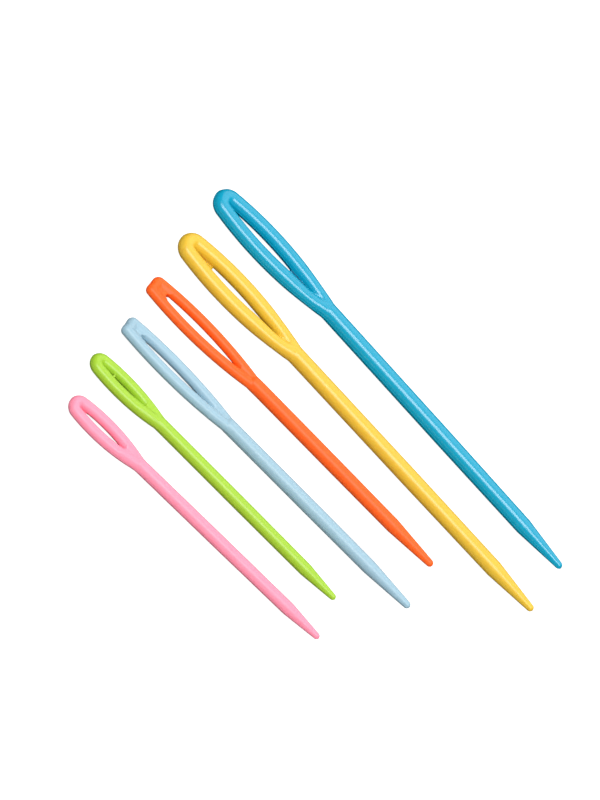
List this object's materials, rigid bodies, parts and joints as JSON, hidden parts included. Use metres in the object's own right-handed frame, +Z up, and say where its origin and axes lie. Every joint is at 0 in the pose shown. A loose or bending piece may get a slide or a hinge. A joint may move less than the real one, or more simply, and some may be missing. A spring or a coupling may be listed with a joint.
{
  "type": "yarn needle set",
  "caption": "Set of moulded plastic yarn needles in graded sizes with long open eyes and blunt tips, laid out in a row for sewing with yarn.",
  "frame": {"origin": "centre of the set's footprint on the table", "axes": "+X from the eyes towards the tips, +Y towards the longest needle at the back of the row, +Z up from the table"},
  "size_m": [0.095, 0.068, 0.0034],
  "materials": {
    "blue_plastic": "glossy injection-moulded plastic, clear blue",
    "yellow_plastic": "glossy injection-moulded plastic, warm yellow",
    "orange_plastic": "satin injection-moulded plastic, bright orange",
    "sky_plastic": "satin injection-moulded plastic, pale sky blue",
    "green_plastic": "satin injection-moulded plastic, lime green",
    "pink_plastic": "satin injection-moulded plastic, candy pink"
  },
  "bodies": {
    "blue": {"blue_needle": "blue_plastic"},
    "yellow": {"yellow_needle": "yellow_plastic"},
    "orange": {"orange_needle": "orange_plastic"},
    "sky": {"sky_needle": "sky_plastic"},
    "green": {"green_needle": "green_plastic"},
    "pink": {"pink_needle": "pink_plastic"}
  },
  "joints": [
    {"name": "yellow_lift", "type": "slide", "parent": "blue", "child": "yellow", "axis": [0, 0, 1], "range_m": [0, 0.05]},
    {"name": "orange_lift", "type": "slide", "parent": "blue", "child": "orange", "axis": [0, 0, 1], "range_m": [0, 0.05]},
    {"name": "sky_lift", "type": "slide", "parent": "blue", "child": "sky", "axis": [0, 0, 1], "range_m": [0, 0.05]},
    {"name": "green_lift", "type": "slide", "parent": "blue", "child": "green", "axis": [0, 0, 1], "range_m": [0, 0.05]},
    {"name": "pink_lift", "type": "slide", "parent": "blue", "child": "pink", "axis": [0, 0, 1], "range_m": [0, 0.05]}
  ]
}
